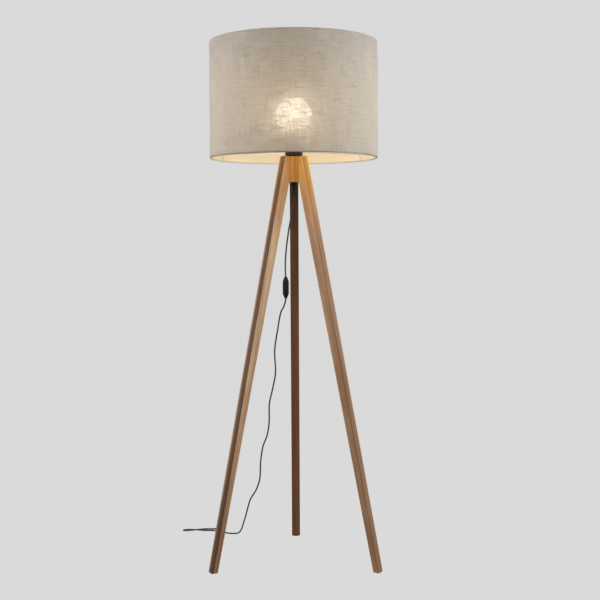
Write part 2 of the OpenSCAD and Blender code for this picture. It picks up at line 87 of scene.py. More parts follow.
# The routes are listed here and are the same as in the part's source.
UPPER_ROUTE = [
    (0, -0.017, 0.9885), (0, -0.017, 0.974), (-0.0065, -0.0065, 0.944), (-0.017, 0.009, 0.888),
    (-0.024, 0.020, 0.828), (-0.025, 0.0215, 0.792), (-0.024, 0.020, 0.7735),
]
LOWER_ROUTE = [
    (-0.024, 0.020, 0.7145), (-0.025, 0.0217, 0.707), (-0.030, 0.0295, 0.691),
    (-0.038, 0.042, 0.675), (-0.048, 0.057, 0.623), (-0.0565, 0.071, 0.566),
    (-0.0545, 0.0675, 0.504), (-0.063, 0.081, 0.458), (-0.073, 0.097, 0.412),
    (-0.074, 0.098, 0.360), (-0.080, 0.107, 0.322), (-0.093, 0.127, 0.285),
    (-0.100, 0.138, 0.240), (-0.103, 0.143, 0.190), (-0.115, 0.162, 0.152),
    (-0.133, 0.190, 0.118), (-0.150, 0.2155, 0.057), (-0.168, 0.238, 0.0095),
    (-0.186, 0.247, 0.0033), (-0.211, 0.260, 0.0024), (-0.246, 0.285, 0.0024),
    (-0.276, 0.289, 0.0024), (-0.303, 0.2965, 0.0024), (-0.317, 0.2985, 0.0025),
    (-0.329, 0.2955, 0.003), (-0.337, 0.286, 0.0043), (-0.337, 0.274, 0.0062),
    (-0.329, 0.2645, 0.0082), (-0.317, 0.262, 0.0096), (-0.303, 0.266, 0.0098),
    (-0.284, 0.277, 0.0089), (-0.265, 0.288, 0.0072), (-0.249, 0.300, 0.0036),
    (-0.2399, 0.3127, 0.0024),
]
TAIL_ROUTE = [(-0.2148, 0.3133, 0.0066), (-0.217, 0.290, 0.0072), (-0.225, 0.2505, 0.0075)]
HANK_AT = Vector((-0.2274, 0.313, 0))
HANK_TURN = math.radians(1.4)
HANK_RUN = 0.063
HANK_FOLD = 0.0126
HANK_PINCH = 0.0104
HANK_LOW = 0.0024
HANK_HIGH = 0.0066
HANK_LIFT = 0.0005
ROUTE_STEPS = 6
TAIL_STEPS = 8
HANK_STEPS = 14


def smooth_line(route, steps):
    """Points on the smooth curve through the route, with `steps` points to each stretch."""
    known = [Vector(point) for point in route]
    known = [2 * known[0] - known[1]] + known + [2 * known[-1] - known[-2]]

    def gap(a, b):
        return math.sqrt((b - a).length)

    def slope(a, b, c):
        return (b - a) / gap(a, b) - (c - a) / (gap(a, b) + gap(b, c)) + (c - b) / gap(b, c)

    line = []
    for a, b, c, d in zip(known, known[1:], known[2:], known[3:]):
        u = gap(b, c) * slope(a, b, c)
        v = gap(b, c) * slope(b, c, d)
        for step in range(steps):
            f = step / steps
            line.append(
                b + f * u + f**2 * (3 * (c - b) - 2 * u - v) + f**3 * (2 * (b - c) + u + v)
            )
    return line + [known[-2]]


def hank_line():
    """The hank's four runs and three folds, from where the cord enters it to where its tail leaves."""
    line = []

    def run(side, height, outward):
        for step in range(HANK_STEPS):
            share = step / HANK_STEPS if outward else 1 - step / HANK_STEPS
            pinch = (1 - math.cos(math.tau * share)) / 2
            across = side * (HANK_FOLD - HANK_PINCH * pinch)
            line.append(Vector((across, HANK_RUN * share, height + HANK_LIFT * pinch)))

    def fold(side, far, low, high):
        for step in range(HANK_STEPS):
            turn = math.pi * step / HANK_STEPS
            height = low + (high - low) * (1 - math.cos(turn)) / 2
            reach = HANK_FOLD * math.sin(turn)
            y = HANK_RUN + reach if far else -reach
            line.append(Vector((side * HANK_FOLD * math.cos(turn), y, height)))

    run(-1, HANK_LOW, True)
    fold(-1, True, HANK_LOW, HANK_LOW)
    run(1, HANK_LOW, False)
    fold(1, False, HANK_LOW, HANK_HIGH)
    run(-1, HANK_HIGH, True)
    fold(-1, True, HANK_HIGH, HANK_HIGH)
    run(1, HANK_HIGH, False)
    turn = Matrix.Rotation(HANK_TURN, 3, "Z")
    return [HANK_AT + turn @ point for point in line]


def make_cord():
    """The whole mains cord as one curve, from the strain relief to the plug."""
    line = smooth_line(UPPER_ROUTE, ROUTE_STEPS)
    line += smooth_line(LOWER_ROUTE, ROUTE_STEPS)[:-1]
    line += hank_line()
    line += smooth_line(TAIL_ROUTE, TAIL_STEPS)
    curve = bpy.data.curves.new("cord", "CURVE")
    curve.dimensions = "3D"
    curve.bevel_depth = 1
    curve.bevel_resolution = 4
    curve.use_fill_caps = True
    spline = curve.splines.new("POLY")
    spline.points.add(len(line) - 1)
    for point, place in zip(spline.points, line):
        point.co = (*place, 1)
        point.radius = CORD_D / 2
    spline.use_smooth = True
    cord = bpy.data.objects.new("mains_cord", curve)
    bpy.context.scene.collection.objects.link(cord)
    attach(cord, "base")
    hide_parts("cord_upper", "cord_lower", "cord_hank", "cord_tail")
    return cord


make_camera()
cord = make_cord()


# ---- Meshes ----

def mesh_piece(name, points, faces, body, uvs=None):
    """A smooth mesh object that rides on a body; uvs holds one (u, v) for each corner of each face."""
    mesh = bpy.data.meshes.new(name)
    mesh.from_pydata([tuple(point) for point in points], [], faces)
    if uvs is not None:
        layer = mesh.uv_layers.new(name="metres")
        for loop, uv in zip(layer.data, uvs):
            loop.uv = uv
    mesh.shade_smooth()
    piece = bpy.data.objects.new(name, mesh)
    bpy.context.scene.collection.objects.link(piece)
    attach(piece, body)
    return piece


def arc(centre, radius, start, end, steps):
    """Points on an ellipse's arc from start to end, in degrees; radius is (across, up)."""
    points = []
    for k in range(steps + 1):
        turn = math.radians(start + (end - start) * k / steps)
        across = centre[0] + radius[0] * math.cos(turn)
        points.append((across, centre[1] + radius[1] * math.sin(turn)))
    return points


def straight(start, end, steps):
    """Evenly spaced points from start to end, both included."""
    return [
        (start[0] + (end[0] - start[0]) * k / steps, start[1] + (end[1] - start[1]) * k / steps)
        for k in range(steps + 1)
    ]


def revolve(name, outline, turns, body, shift=None):
    """Turns an outline of (radius, height) points about the lamp's axis. turns lists the angles in
    radians; the surface closes on itself if they end a full turn on. shift(turn, index, radius,
    height) may move a point. The UV map holds metres round the axis and along the outline."""
    closed = abs(turns[-1] - turns[0] - math.tau) < 1e-6
    columns = turns[:-1] if closed else turns
    rows = len(outline)
    points = []
    for turn in columns:
        for index, (radius, height) in enumerate(outline):
            if shift:
                radius, height = shift(turn, index, radius, height)
            points.append((axis.x + radius * math.cos(turn), axis.y + radius * math.sin(turn), height))
    along = [0.0]
    for a, b in zip(outline, outline[1:]):
        along.append(along[-1] + math.dist(a, b))
    widest = max(radius for radius, height in outline)
    faces = []
    uvs = []
    for column in range(len(turns) - 1):
        following = (column + 1) % len(columns)
        u, next_u = turns[column] * widest, turns[column + 1] * widest
        for row in range(rows - 1):
            a = column * rows + row
            b = following * rows + row
            faces.append((a, b, b + 1, a + 1))
            v, next_v = along[row], along[row + 1]
            uvs += [(u, v), (next_u, v), (next_u, next_v), (u, next_v)]
    return mesh_piece(name, points, faces, body, uvs)


# ---- Shade ----

# The cover's section: the gap between cloth and ring, the turned-in hems, and the wall between them.
CLOTH_GAP = 0.0004
HEM_W = 0.0036
HEM_GAP = 0.0002
HEM_STEPS = 4
ROUND_STEPS = 10
WALL_STEPS = 40
WALL_END = 0.004
# The lapped seam at the back.
SEAM_W = 0.012
SEAM_AT = math.radians(90)
SEAM_STEPS = 4
LAP_RISE = 0.0006
LAP_RUN = 0.004
# Columns of points, closer together where the spider's drops pass inside the cover.
COLUMNS = 300
DROP_R = 0.0014
DROP_REACH = 3.2 * DROP_R
DROP_STEPS = 6
DROP_STEP = 0.0035
DROP_CLEAR = 0.022
# How uneven the stretched cloth is: the size of each wave, and how close the long waves stand.
WALL_WAVE = 0.00045
FINE_WAVE = 0.00012
EDGE_WAVE = 0.0005
WAVE_ROUND = 3.1
WAVE_UP = 9
lower_ring = ring_low.z + wire_r
upper_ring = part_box("top_ring")[0].z + wire_r
arm_turns = [math.radians(SPIDER_TURN - 90 + 360 / SPIDER_ARMS * k) for k in range(SPIDER_ARMS)]


def shade_turns():
    """Angles round the shade, from the seam back to the seam and over its lap, with more of them at
    the spider's drops."""
    end = SEAM_AT + math.tau
    turns = [SEAM_AT + math.tau * k / COLUMNS for k in range(COLUMNS + 1)]
    for arm in arm_turns:
        centre = (arm - SEAM_AT) % math.tau + SEAM_AT
        turns = [turn for turn in turns if abs(turn - centre) > DROP_CLEAR]
        turns += [centre + DROP_STEP * k for k in range(-DROP_STEPS, DROP_STEPS + 1)]
    lap = [end + SEAM_W / shade_r * k / SEAM_STEPS for k in range(1, SEAM_STEPS + 1)]
    return sorted(turns) + lap


def linen_outline():
    """The cover's section as (radius, height), from its turned-in lower edge to its upper one."""
    outer = shade_r - CLOTH_GAP
    inner = ring_r - wire_r - CLOTH_GAP
    reach = ((outer - inner) / 2, wire_r + CLOTH_GAP)
    centre = (outer + inner) / 2
    return (
        straight((inner, shade_low.z + HEM_W), (inner, lower_ring + HEM_GAP), HEM_STEPS)
        + arc((centre, lower_ring), reach, 180, 360, ROUND_STEPS)
        + straight((outer, lower_ring + WALL_END), (outer, upper_ring - WALL_END), WALL_STEPS)
        + arc((centre, upper_ring), reach, 0, 180, ROUND_STEPS)
        + straight((inner, upper_ring + HEM_GAP), (inner, shade_high.z - HEM_W), HEM_STEPS)
    )


def lap_rise(turn):
    """How far the cover's lapped end stands off the start that it covers."""
    past = (turn - SEAM_AT - math.tau) * shade_r
    return LAP_RISE * min(max((past + LAP_RUN) / LAP_RUN, 0), 1)


def at_drop(turn):
    """Whether the spider's drop passes inside the cover here."""
    near = min(abs((turn - arm + math.pi) % math.tau - math.pi) for arm in arm_turns)
    return near * shade_r < DROP_REACH


def make_linen():
    """The linen cover, turned in round both wire rings, with a lapped seam at the back."""
    outline = linen_outline()
    last = len(outline) - 1
    lower_hem = HEM_STEPS + ROUND_STEPS + 1
    inner_part = HEM_STEPS + ROUND_STEPS - 2

    def shift(turn, index, radius, height):
        around = Vector((math.cos(turn) * WAVE_ROUND, math.sin(turn) * WAVE_ROUND, height * WAVE_UP))
        wave = noise.noise(around)
        slack = noise.noise(Vector((turn * 14, height * 3, 4.7)))
        if lower_hem < index < last - lower_hem:
            radius += WALL_WAVE * wave + FINE_WAVE * slack
        else:
            radius += FINE_WAVE * wave
        side = 1 if radius > ring_r else -1
        radius += side * lap_rise(turn)
        if index in (0, last):
            height += EDGE_WAVE * noise.noise(Vector((turn * 40, 2.3, 0)))
        if index < inner_part and at_drop(turn):
            radius = max(radius, ring_r - wire_r + HEM_GAP)
        return radius, height

    linen = revolve("linen_cover", outline, shade_turns(), "shade", shift)
    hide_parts("shade_cover", "hem_bottom", "hem_top")
    return linen


FILM_IN = 0.0011
FILM_END = 0.0006
FILM_ROWS = 24
FILM_COLUMNS = 240


def make_lining():
    """The cream film that the linen is stuck to, as one sheet just inside it."""
    radius = shade_r - FILM_IN
    outline = straight((radius, shade_low.z + FILM_END), (radius, shade_high.z - FILM_END), FILM_ROWS)
    turns = [SEAM_AT + math.tau * k / FILM_COLUMNS for k in range(FILM_COLUMNS + 1)]
    lining = revolve("shade_lining", outline, turns, "shade")
    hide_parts("shade_liner")
    return lining


linen = make_linen()
lining = make_lining()


# ---- Bulb ----

GLOBE_LIP = 0.002
GLOBE_WALL = 0.977
GLOBE_ROWS = 40
GLOBE_COLUMNS = 72
globe_r = (globe_high.x - globe_low.x) / 2
globe_z = globe_high.z - globe_r


def make_globe():
    """The bulb's opal globe, closed by a short inward lip where it meets the neck."""
    neck = math.degrees(math.acos((globe_z - globe_low.z) / globe_r))
    lip = math.sin(math.radians(neck)) * globe_r * GLOBE_WALL
    outline = [(lip, globe_low.z + GLOBE_LIP), (lip, globe_low.z)]
    outline += arc((0, globe_z), (globe_r, globe_r), neck - 90, 90, GLOBE_ROWS)
    turns = [math.tau * k / GLOBE_COLUMNS for k in range(GLOBE_COLUMNS + 1)]
    globe = revolve("opal_globe", outline, turns, "base")
    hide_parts("bulb_globe")
    return globe


globe = make_globe()


# ---- Hank's tie ----

STRAP_W = 0.0114
STRAP_T = 0.0006
STRAP_CORNER = 0.003
STRAP_STEPS = 8
CORNER_STEPS = 6
STRAP_START = 0.002
OVERLAP_STEP = 0.0022
OVERLAP_STEPS = 4
OVERLAP_LIFT = 0.0007
SIDE_GAP = 0.0008
TOP_GAP = 0.0012
FLOOR_GAP = 0.0004


def strap_outline(half, bottom, top):
    """The strap's loop seen along the hank, as (across, up), from its start under the lap to its end."""
    side = half - STRAP_CORNER
    roof = top - STRAP_CORNER
    ground = bottom + STRAP_CORNER
    corners = [(-side, roof, 90), (-side, ground, 180), (side, ground, 270), (side, roof, 0)]
    outline = straight((STRAP_START, top), (-side, top), OVERLAP_STEPS)[:-1]
    for across, up, start in corners:
        outline += arc((across, up), (STRAP_CORNER, STRAP_CORNER), start, start + 90, CORNER_STEPS)
    steps = range(1, OVERLAP_STEPS + 1)
    return outline + [(side - OVERLAP_STEP * k, top + OVERLAP_LIFT) for k in steps]


def make_tie():
    """A woven strap wrapped once round the hank, with its end lapped over the top. Its UV map counts
    a millimetre to each step."""
    low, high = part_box("hank_tie")
    centre = (low + high) / 2
    half = (high.x - low.x) / 2 - SIDE_GAP
    outline = strap_outline(half, low.z + FLOOR_GAP, high.z - TOP_GAP)
    turn = Matrix.Rotation(HANK_TURN, 3, "Z")
    points = []
    for x, z in outline:
        for k in range(STRAP_STEPS + 1):
            y = STRAP_W * (k / STRAP_STEPS - 0.5)
            points.append(Vector((centre.x, centre.y, z)) + turn @ Vector((x, y, 0)))
    faces = []
    uvs = []
    for i in range(len(outline) - 1):
        u, next_u = i * MM, (i + 1) * MM
        for k in range(STRAP_STEPS):
            a = i * (STRAP_STEPS + 1) + k
            b = a + STRAP_STEPS + 1
            faces.append((a, a + 1, b + 1, b))
            v, next_v = k * MM, (k + 1) * MM
            uvs += [(u, v), (u, next_v), (next_u, next_v), (next_u, v)]
    tie = mesh_piece("hank_strap", points, faces, "base", uvs)
    solid = tie.modifiers.new("thickness", "SOLIDIFY")
    solid.thickness = STRAP_T
    solid.offset = 0
    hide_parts("hank_tie")
    return tie


tie = make_tie()


# ---- Nodes of the materials ----

class Paint:
    """The nodes of one procedural material. Each method adds a node and returns its output."""

    def __init__(self, name):
        self.material = bpy.data.materials.new(name)
        self.material.use_nodes = True
        self.tree = self.material.node_tree
        self.tree.nodes.clear()

    def add(self, kind, inputs=None, output=0, **settings):
        node = self.tree.nodes.new("ShaderNode" + kind)
        for key, value in settings.items():
            setattr(node, key, value)
        for key, value in (inputs or {}).items():
            if isinstance(value, bpy.types.NodeSocket):
                self.tree.links.new(value, node.inputs[key])
            else:
                node.inputs[key].default_value = value
        return node.outputs[output]

    def place(self):
        return self.add("TexCoord", output="Object")

    def uv(self):
        return self.add("TexCoord", output="UV")

    def stretch(self, place, scale):
        return self.add("Mapping", {"Vector": place, "Scale": scale})

    def noise(self, place, scale=1.0, detail=2.0, roughness=0.5, distortion=0.0, output=0):
        inputs = {
            "Vector": place,
            "Scale": scale,
            "Detail": detail,
            "Roughness": roughness,
            "Distortion": distortion,
        }
        return self.add("TexNoise", inputs, output)

    def maths(self, operation, a, b=0.0, clamp=False):
        return self.add("Math", {0: a, 1: b}, operation=operation, use_clamp=clamp)

    def split(self, vector, part):
        return self.add("SeparateXYZ", {0: vector}, part)

    def vector(self, operation, a, b):
        return self.add("VectorMath", {0: a, 1: b}, operation=operation)

    def scaled(self, a, factor):
        return self.add("VectorMath", {0: a, "Scale": factor}, operation="SCALE")

    def length(self, a):
        return self.add("VectorMath", {0: a}, "Value", operation="LENGTH")

    def mix(self, share, a, b, blend="MIX"):
        """Mixes two colours."""
        return self.add("Mix", {0: share, 6: a, 7: b}, 2, data_type="RGBA", blend_type=blend)

    def between(self, share, a, b):
        """Mixes two numbers."""
        return self.add("Mix", {0: share, 2: a, 3: b}, 0, data_type="FLOAT")

    def remap(self, value, low, high, to_low=0.0, to_high=1.0, kind="LINEAR"):
        inputs = {0: value, 1: low, 2: high, 3: to_low, 4: to_high}
        return self.add("MapRange", inputs, interpolation_type=kind)

    def bump(self, height, depth, strength):
        return self.add("Bump", {"Height": height, "Distance": depth, "Strength": strength})

    def principled(self, colour, roughness, normal=None, **inputs):
        named = {key.replace("_", " "): value for key, value in inputs.items()}
        named["Base Color"] = colour
        named["Roughness"] = roughness
        if normal:
            named["Normal"] = normal
        return self.add("BsdfPrincipled", named)

    def translucent(self, colour, normal):
        return self.add("BsdfTranslucent", {"Color": colour, "Normal": normal})

    def either(self, share, a, b):
        """Mixes two shaders."""
        return self.add("MixShader", {0: share, 1: a, 2: b})

    def done(self, shader):
        node = self.tree.nodes.new("ShaderNodeOutputMaterial")
        self.tree.links.new(shader, node.inputs[0])
        return self.material


def rgb(red, green, blue):
    return (red, green, blue, 1.0)


def toned(colour, factor, lift=0.0):
    """The colour made lighter or darker."""
    return rgb(*(min(1, part * factor + lift) for part in colour[:3]))


# ---- Materials ----

RING_W = 0.0042
RING_RISE = 0.014
GRAIN_DRIFT = 0.018
STAIN_DRIFT = 0.006


def plank_places(paint, origin, lean):
    """Places on a plank's own axes, z along the grain: straight ones, ones that drift as the grain
    does, and ones that drift a little."""
    inputs = {"Vector": paint.place(), "Location": origin, "Rotation": lean}
    local = paint.add("Mapping", inputs, vector_type="TEXTURE")
    wander = paint.noise(paint.stretch(local, (9, 9, 1.6)), 1.0, 3, 0.55, output=1)
    wander = paint.vector("SUBTRACT", wander, (0.5, 0.5, 0.5))
    bent = paint.vector("ADD", local, paint.scaled(wander, GRAIN_DRIFT))
    loose = paint.vector("ADD", local, paint.scaled(wander, STAIN_DRIFT))
    return local, bent, loose


def late_wood(paint, local, bent, pith, ring):
    """How dark the growth rings are: each darkens slowly outwards and then stops short."""
    across = paint.vector("MULTIPLY", paint.vector("SUBTRACT", bent, (pith[0], pith[1], 0)), (1, 1, 0))
    rise = paint.maths("MULTIPLY", paint.split(local, 2), RING_RISE)
    radius = paint.maths("ADD", paint.length(across), rise)
    rings = paint.maths("FRACT", paint.maths("DIVIDE", radius, ring))
    late = paint.remap(rings, 0.25, 0.92, 0, 1, "SMOOTHSTEP")
    late = paint.maths("MULTIPLY", late, paint.remap(rings, 0.93, 1.0, 1, 0))
    strength = paint.noise(paint.stretch(local, (60, 60, 3)), 1.0, 2, 0.5)
    return paint.maths("MULTIPLY", late, paint.remap(strength, 0.3, 0.7, 0.35, 1))


def outer_face_shade(paint, loose, outer_shade, corner):
    """How much painted shade falls on a place: a band along the plank's corner at x = 0."""
    skin = paint.remap(paint.split(loose, 0), -0.005, -0.001, 0, outer_shade, "SMOOTHSTEP")
    aside = paint.maths("MULTIPLY", paint.split(loose, 1), corner)
    return paint.maths("MULTIPLY", skin, paint.remap(aside, -0.0115, 0.001, 0, 1, "SMOOTHSTEP"))


def with_painted_light_shade(paint, colour, local, loose, painted_light_shade_bands, inner):
    """The colour with painted shade on the plank's inner side, and bands of painted light and painted
    shade along the plank.
    """
    inside = 1.0
    if inner:
        # The inner tone is painted shade on the side away from x = 0.
        inside = paint.remap(paint.split(loose, 0), -0.012, -0.004, 1, 0)
        colour = paint.mix(inside, colour, inner, "MULTIPLY")
    # Each band multiplies the colour by its tone: painted light and shade along the plank.
    for start, end, tone in painted_light_shade_bands:
        share = paint.remap(paint.split(local, 2), start, end, kind="SMOOTHSTEP")
        share = paint.maths("MULTIPLY", share, inside)
        colour = paint.mix(share, colour, tone, "MULTIPLY")
    return colour


def wood(
    name, origin, lean, pith, tones, ring=RING_W, streaks=0.55, outer_shade=0.0, corner=1, painted_light_shade_bands=(), inner=None
):
    """Lacquered timber. origin and lean place the plank's own axes, with z along the grain; pith is
    where the tree's centre lies beside the plank. tones are its light, middle and dark colours.
    outer_shade is how much painted shade darkens the plank along its corner at x = 0, on the side
    that corner gives. Each of painted_light_shade_bands is (start, end, tone): painted light and
    shade that multiplies the colour by that tone by the height end, from none of it at start. inner
    is a tone of painted shade on the plank's side away from x = 0, and then the bands change only
    that side."""
    light, mid, dark = tones
    paint = Paint(name)
    local, bent, loose = plank_places(paint, origin, lean)
    late = late_wood(paint, local, bent, pith, ring)
    tone = paint.noise(paint.stretch(bent, (55, 55, 3.2)), 1.0, 3, 0.6, 0.4)
    fibre = paint.noise(paint.stretch(bent, (900, 900, 16)), 1.0, 3, 0.6)
    pores = paint.noise(paint.stretch(bent, (1900, 1900, 70)), 1.0, 1, 0.5)
    pores = paint.remap(pores, 0.63, 0.74, 0, 1)
    colour = paint.mix(paint.remap(tone, 0.36, 0.64), light, mid)
    blush = paint.noise(paint.stretch(local, (38, 38, 7)), 1.0, 3, 0.6, 0.8)
    colour = paint.mix(paint.remap(blush, 0.42, 0.66, 0, 0.5), colour, redder(mid))
    # Painted shade darkens the outer face towards one corner.
    colour = paint.mix(outer_face_shade(paint, loose, outer_shade, corner), colour, dark)
    # Painted light and shade along the plank, and painted shade on its inner side.
    colour = with_painted_light_shade(paint, colour, local, loose, painted_light_shade_bands, inner)
    colour = paint.mix(paint.maths("MULTIPLY", late, streaks), colour, dark)
    colour = paint.mix(paint.remap(fibre, 0.3, 0.75, 0, 0.45), colour, dark)
    colour = paint.mix(paint.maths("MULTIPLY", pores, 0.55), colour, dark)
    grime = paint.noise(paint.stretch(local, (30, 30, 9)), 1.0, 4, 0.6)
    roughness = paint.remap(grime, 0.3, 0.7, 0.36, 0.5)
    roughness = paint.maths("ADD", roughness, paint.maths("MULTIPLY", fibre, 0.08))
    height = paint.maths("SUBTRACT", paint.maths("MULTIPLY", fibre, 0.6), pores)
    normal = paint.bump(height, 0.00012, 0.5)
    shader = paint.principled(
        colour, roughness, normal, Coat_Weight=0.08, Coat_Roughness=0.3, Specular_IOR_Level=0.3
    )
    return paint.done(shader)


def redder(colour):
    """The pinkish tone that streaks the timber."""
    return rgb(min(1, colour[0] * 1.12), colour[1] * 0.9, colour[2] * 0.95)


def plastic(name, colour, roughness=0.42, grain=2600, depth=0.00006, coat=0.0):
    """Moulded plastic with a fine spark texture and a little dust and wear."""
    paint = Paint(name)
    place = paint.place()
    spark = paint.noise(place, grain, 3, 0.65)
    wear = paint.noise(place, 70, 4, 0.6)
    lighter = toned(colour, 1.4, 0.005)
    shade = paint.mix(paint.remap(wear, 0.4, 0.75, 0, 0.7), colour, lighter)
    shade = paint.mix(paint.remap(spark, 0.35, 0.75, 0, 0.35), shade, lighter)
    rough = paint.remap(wear, 0.3, 0.7, roughness - 0.07, roughness + 0.08)
    normal = paint.bump(spark, depth, 0.6)
    shader = paint.principled(
        shade, rough, normal, Coat_Weight=coat, Coat_Roughness=0.2, Specular_IOR_Level=0.3
    )
    return paint.done(shader)


def metal(name, colour, roughness=0.3, along=(60, 60, 2400), tarnish=0.75):
    """Plated or bare metal with turning marks and a faint tarnish."""
    paint = Paint(name)
    place = paint.place()
    marks = paint.noise(paint.stretch(place, along), 1.0, 3, 0.6)
    stains = paint.noise(place, 120, 4, 0.65)
    shade = paint.mix(paint.remap(stains, 0.35, 0.7), colour, toned(colour, tarnish))
    rough = paint.remap(stains, 0.3, 0.7, roughness - 0.06, roughness + 0.12)
    normal = paint.bump(marks, 0.00002, 0.5)
    return paint.done(paint.principled(shade, rough, normal, Metallic=1.0))


def painted(name, colour, chips, roughness=0.38, coat=0.2):
    """Paint on metal: a slight orange peel, worn in places to a second colour."""
    paint = Paint(name)
    place = paint.place()
    peel = paint.noise(place, 900, 2, 0.5)
    worn = paint.noise(place, 240, 5, 0.7)
    shade = paint.mix(paint.remap(worn, 0.62, 0.72, 0, 0.7), colour, chips)
    rough = paint.remap(worn, 0.3, 0.7, roughness - 0.05, roughness + 0.1)
    normal = paint.bump(peel, 0.00005, 0.4)
    shader = paint.principled(
        shade, rough, normal, Coat_Weight=coat, Coat_Roughness=0.15, Specular_IOR_Level=0.25
    )
    return paint.done(shader)


def ceramic(name, colour):
    """Glazed ceramic with a few dark specks."""
    paint = Paint(name)
    place = paint.place()
    specks = paint.remap(paint.noise(place, 1500, 2, 0.5), 0.68, 0.74)
    shade = paint.mix(paint.maths("MULTIPLY", specks, 0.5), colour, rgb(0.4, 0.35, 0.28))
    normal = paint.bump(paint.noise(place, 160, 2, 0.5), 0.0001, 0.3)
    return paint.done(paint.principled(shade, 0.18, normal, Coat_Weight=0.5, Coat_Roughness=0.06))


def felt():
    """Dark pressed felt, matted and hairy."""
    paint = Paint("felt")
    place = paint.place()
    hairs = paint.noise(place, 1400, 4, 0.75, 1.5)
    lumps = paint.noise(place, 260, 3, 0.6)
    shade = paint.mix(paint.remap(hairs, 0.3, 0.7), rgb(0.035, 0.03, 0.027), rgb(0.11, 0.1, 0.085))
    height = paint.maths("ADD", hairs, paint.maths("MULTIPLY", lumps, 0.6))
    normal = paint.bump(height, 0.0004, 0.8)
    return paint.done(paint.principled(shade, 0.95, normal, Sheen_Weight=0.3))


def woven_strap():
    """Narrow woven tape with a napped face."""
    paint = Paint("woven_strap")
    place = paint.place()
    inputs = {"Vector": place, "Scale": 380.0, "Distortion": 0.6, "Detail": 1.0}
    ribs = paint.add("TexWave", inputs, bands_direction="DIAGONAL")
    nap = paint.noise(place, 1800, 4, 0.7)
    shade = paint.mix(nap, rgb(0.012, 0.012, 0.012), rgb(0.05, 0.05, 0.05))
    height = paint.maths("ADD", paint.maths("MULTIPLY", ribs, 0.5), nap)
    normal = paint.bump(height, 0.0003, 0.7)
    return paint.done(paint.principled(shade, 0.85, normal, Sheen_Weight=0.4))


def cord_sheath():
    """Extruded flexible sheath: a satin black with handling marks and a little dust."""
    paint = Paint("cord_sheath")
    place = paint.place()
    dust = paint.noise(place, 45, 5, 0.65)
    fine = paint.noise(place, 2400, 2, 0.5)
    shade = paint.mix(paint.remap(dust, 0.4, 0.75), rgb(0.02, 0.02, 0.021), rgb(0.06, 0.058, 0.055))
    rough = paint.remap(dust, 0.3, 0.7, 0.36, 0.52)
    normal = paint.bump(fine, 0.00004, 0.5)
    return paint.done(paint.principled(shade, rough, normal))


def circuit_board():
    """Green solder resist over square tracks."""
    paint = Paint("circuit_board")
    place = paint.place()
    tracks = paint.add("TexVoronoi", {"Vector": place, "Scale": 420.0}, distance="MANHATTAN")
    shade = paint.mix(paint.remap(tracks, 0.3, 0.5), rgb(0.03, 0.15, 0.06), rgb(0.01, 0.07, 0.03))
    normal = paint.bump(tracks, 0.0001, 0.4)
    return paint.done(paint.principled(shade, 0.35, normal, Coat_Weight=0.3))


LED_GLOW = 6.0
GLOBE_GLOW = 4.9
GLOBE_FADE = 0.035


def phosphor():
    """The LEDs' lit yellow phosphor."""
    paint = Paint("led_phosphor")
    grains = paint.noise(paint.place(), 3500, 2, 0.6)
    shade = paint.mix(grains, rgb(0.95, 0.7, 0.22), rgb(0.98, 0.82, 0.42))
    normal = paint.bump(grains, 0.00005, 0.5)
    glow = rgb(1, 0.85, 0.5)
    return paint.done(
        paint.principled(shade, 0.4, normal, Emission_Color=glow, Emission_Strength=LED_GLOW)
    )


def opal_glass():
    """The lit globe: brightest round its middle, a little dimmer towards the neck, with a glossy skin."""
    paint = Paint("opal_glass")
    place = paint.place()
    neck = globe_low.z
    height = paint.remap(paint.split(place, 2), neck, neck + GLOBE_FADE, 0, 1, "SMOOTHSTEP")
    cloud = paint.remap(paint.noise(place, 40, 3, 0.5), 0.3, 0.7, 0.97, 1.0)
    warm = paint.mix(height, rgb(1, 0.84, 0.6), rgb(1, 0.93, 0.8))
    light = paint.maths("MULTIPLY", paint.remap(height, 0, 1, 0.8, 1), cloud)
    light = paint.maths("MULTIPLY", light, GLOBE_GLOW)
    shader = paint.principled(
        rgb(0.9, 0.88, 0.84), 0.16, Emission_Color=warm, Emission_Strength=light, Coat_Weight=0.3
    )
    return paint.done(shader)


WEAVE = 0.0009
THREAD_DRIFT = 0.0006
FOLD_END = 0.0115
FOLD_START = 0.0055
LINEN_LIGHT = rgb(0.65, 0.62, 0.59)
LINEN_DARK = rgb(0.265, 0.24, 0.215)


def flecks(paint, place, stretch, detail, roughness, low=0.36):
    """Streaks stretched to a size, as a share from 0 to 1."""
    streaks = paint.noise(paint.stretch(place, stretch), 1.0, detail, roughness)
    return paint.remap(streaks, low, 1 - low)


